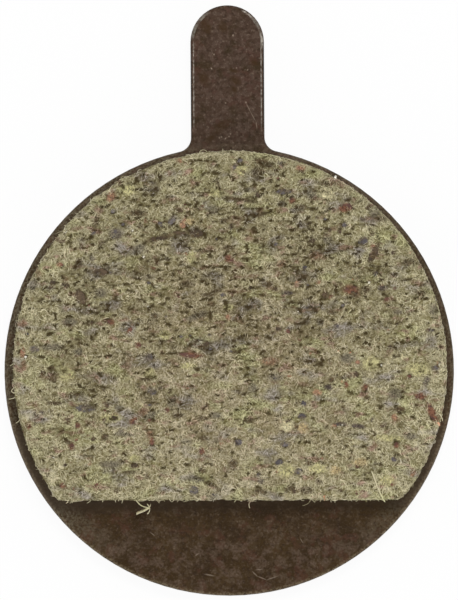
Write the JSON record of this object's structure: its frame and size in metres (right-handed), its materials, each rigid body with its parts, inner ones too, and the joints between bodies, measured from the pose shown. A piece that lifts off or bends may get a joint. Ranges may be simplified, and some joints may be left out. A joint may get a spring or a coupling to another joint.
{
  "type": "bicycle disc brake pad",
  "caption": "Round bicycle disc brake pad: a stamped steel backing plate with a rounded pull tab, faced with a moulded friction lining cut off straight along its lower edge.",
  "frame": {"origin": "centre of the round plate on its back face", "axes": "+Z out of the friction face, +Y from the centre of the plate along the tab"},
  "size_m": [0.022, 0.0289, 0.004],
  "materials": {
    "plate_steel": "dark brown steel with a thin baked coating, satin, worn bright along its edges",
    "lining_compound": "matt khaki fibre compound with pits and reddish and blue-grey chips"
  },
  "bodies": {
    "root": {"backing_plate": "plate_steel", "friction_lining": "lining_compound"}
  },
  "joints": []
}
